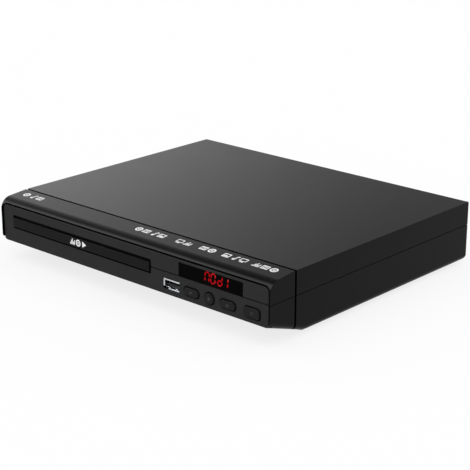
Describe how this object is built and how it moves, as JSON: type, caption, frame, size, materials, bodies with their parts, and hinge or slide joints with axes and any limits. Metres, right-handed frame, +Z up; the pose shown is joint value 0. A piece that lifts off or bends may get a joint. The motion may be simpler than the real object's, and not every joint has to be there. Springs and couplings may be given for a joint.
{
  "type": "disc player",
  "caption": "Slim tabletop disc player: low box with a sliding disc tray, a display window, a front data socket, push buttons, rear sockets and a mains inlet.",
  "frame": {"origin": "middle of the footprint on the surface that the feet stand on", "axes": "+X to the player's right as seen from the front, +Y to the rear, +Z up"},
  "size_m": [0.24, 0.21, 0.0432],
  "materials": {
    "case_plastic": "fine spark-eroded texture, satin black",
    "face_plastic": "smooth moulded black, semi-gloss",
    "button_plastic": "satin black",
    "window_plastic": "polished smoked acrylic",
    "panel_steel": "black powder coat on steel sheet",
    "foot_rubber": "matt black rubber",
    "screw_steel": "zinc plated, dark",
    "bright_steel": "nickel plated, polished",
    "loader_plastic": "moulded black ABS",
    "bridge_steel": "galvanised sheet",
    "clamper_plastic": "natural white acetal",
    "gear_plastic": "natural white acetal",
    "motor_can": "drawn steel can",
    "belt_rubber": "moulded rubber",
    "tray_plastic": "moulded black ABS, satin",
    "deck_steel": "pressed galvanised steel",
    "rod_steel": "ground and polished",
    "turntable_plastic": "moulded black",
    "ring_rubber": "soft friction ring",
    "pickup_metal": "die cast",
    "lens_glass": "coated lens",
    "board_green": "green solder mask on glass fibre",
    "board_brown": "paper laminate",
    "chip_black": "moulded epoxy",
    "sink_aluminium": "extruded, clear anodised",
    "transformer_yellow": "wound coil under yellow tape",
    "can_sleeve": "shrink sleeve",
    "fuse_glass": "glass tube with plated caps",
    "socket_plastic": "moulded black nylon",
    "pin_brass": "plated brass",
    "jack_yellow": "moulded yellow",
    "jack_white": "moulded white",
    "jack_red": "moulded red",
    "switch_plastic": "moulded switch body",
    "led_face": "dark red display block",
    "receiver_plastic": "infrared-clear black epoxy",
    "ribbon_plastic": "flat film cable",
    "lead_plastic": "sleeved wires"
  },
  "bodies": {
    "case": {"upper_case": "case_plastic", "lower_case": "case_plastic", "front_bezel": "case_plastic", "face_plate": "face_plastic", "display_window": "window_plastic", "rear_panel": "panel_steel", "rubber_feet": "foot_rubber", "case_screws": "screw_steel", "loader_frame": "loader_plastic", "loader_screws": "screw_steel", "clamper_bridge": "bridge_steel", "loading_motor": "motor_can", "drive_belt": "belt_rubber", "control_board": "board_brown", "control_screws": "screw_steel", "tact_switches": "switch_plastic", "led_display": "led_face", "ir_receiver": "receiver_plastic", "usb_socket": "bright_steel", "hdmi_socket": "bright_steel", "socket_tongues": "socket_plastic", "decoder_board": "board_green", "power_board": "board_brown", "av_board": "board_brown", "board_screws": "screw_steel", "decoder_chips": "chip_black", "heat_sink": "sink_aluminium", "transformer": "transformer_yellow", "capacitors": "can_sleeve", "mains_fuse": "fuse_glass", "mains_inlet": "socket_plastic", "inlet_pins": "pin_brass", "jack_block": "socket_plastic", "jack_sleeves": "bright_steel", "panel_screws": "screw_steel", "control_ribbon": "ribbon_plastic", "signal_lead": "lead_plastic", "jack_insert_yellow": "jack_yellow", "jack_insert_white": "jack_white", "jack_insert_red": "jack_red"},
    "tray": {"tray": "tray_plastic", "tray_door": "face_plastic"},
    "motor_pulley": {"motor_pulley": "gear_plastic"},
    "pulley_gear": {"pulley_gear": "gear_plastic"},
    "tray_gear": {"tray_gear": "gear_plastic"},
    "cam_slider": {"cam_slider": "clamper_plastic"},
    "deck": {"deck": "deck_steel", "spindle_motor": "motor_can", "guide_rods": "rod_steel", "sled_motor": "motor_can"},
    "turntable": {"turntable": "turntable_plastic", "turntable_ring": "ring_rubber"},
    "pickup": {"pickup": "pickup_metal", "pickup_lens": "lens_glass"},
    "lead_screw": {"lead_screw": "rod_steel"},
    "clamper": {"clamper": "clamper_plastic"},
    "play_button": {"play_button": "button_plastic"},
    "stop_button": {"stop_button": "button_plastic"},
    "eject_button": {"eject_button": "button_plastic"},
    "power_button": {"power_button": "button_plastic"}
  },
  "joints": [
    {"name": "tray_slide", "type": "slide", "parent": "case", "child": "tray", "axis": [0, -1, 0], "range_m": [0, 0.132]},
    {"name": "tray_gear_spin", "type": "hinge", "parent": "case", "child": "tray_gear", "pos_m": [-0.09095, -0.089, 0.022], "axis": [0, 0, 1], "continuous": true},
    {"name": "pulley_gear_spin", "type": "hinge", "parent": "case", "child": "pulley_gear", "pos_m": [-0.08292, -0.08008, 0.018], "axis": [0, 0, 1], "continuous": true},
    {"name": "motor_pulley_spin", "type": "hinge", "parent": "case", "child": "motor_pulley", "pos_m": [-0.09595, -0.055, 0.018], "axis": [0, 0, 1], "continuous": true},
    {"name": "deck_tilt", "type": "hinge", "parent": "case", "child": "deck", "pos_m": [-0.04305, 0.0475, 0.01575], "axis": [1, 0, 0], "range_deg": [0, 4.5]},
    {"name": "cam_slide", "type": "slide", "parent": "case", "child": "cam_slider", "axis": [1, 0, 0], "range_m": [0, 0.012]},
    {"name": "turntable_spin", "type": "hinge", "parent": "deck", "child": "turntable", "pos_m": [-0.04305, -0.036, 0.027], "axis": [0, 0, 1], "continuous": true},
    {"name": "clamper_spin", "type": "hinge", "parent": "case", "child": "clamper", "pos_m": [-0.04305, -0.036, 0.033], "axis": [0, 0, 1], "continuous": true},
    {"name": "pickup_slide", "type": "slide", "parent": "deck", "child": "pickup", "axis": [0, 1, 0], "range_m": [0, 0.034]},
    {"name": "lead_screw_spin", "type": "hinge", "parent": "deck", "child": "lead_screw", "pos_m": [-0.01405, 0.015, 0.0207], "axis": [0, 1, 0], "continuous": true},
    {"name": "play_press", "type": "slide", "parent": "case", "child": "play_button", "axis": [0, 1, 0], "range_m": [0, 0.0005], "stiffness_N_per_m": 400, "springref_m": -0.0005},
    {"name": "stop_press", "type": "slide", "parent": "case", "child": "stop_button", "axis": [0, 1, 0], "range_m": [0, 0.0005], "stiffness_N_per_m": 400, "springref_m": -0.0005},
    {"name": "eject_press", "type": "slide", "parent": "case", "child": "eject_button", "axis": [0, 1, 0], "range_m": [0, 0.0005], "stiffness_N_per_m": 400, "springref_m": -0.0005},
    {"name": "power_press", "type": "slide", "parent": "case", "child": "power_button", "axis": [0, 1, 0], "range_m": [0, 0.0005], "stiffness_N_per_m": 400, "springref_m": -0.0005}
  ],
  "couplings": [
    {"joint": "tray_gear_spin", "follows": "tray_slide", "rad_per_m": 142.86},
    {"joint": "pulley_gear_spin", "follows": "tray_slide", "rad_per_m": -200},
    {"joint": "motor_pulley_spin", "follows": "tray_slide", "rad_per_m": -621.82},
    {"joint": "cam_slide", "follows": "deck_tilt", "m_per_rad": 0.15275},
    {"joint": "clamper_spin", "follows": "turntable_spin", "ratio": 1},
    {"joint": "lead_screw_spin", "follows": "pickup_slide", "rad_per_m": 2094.4}
  ]
}
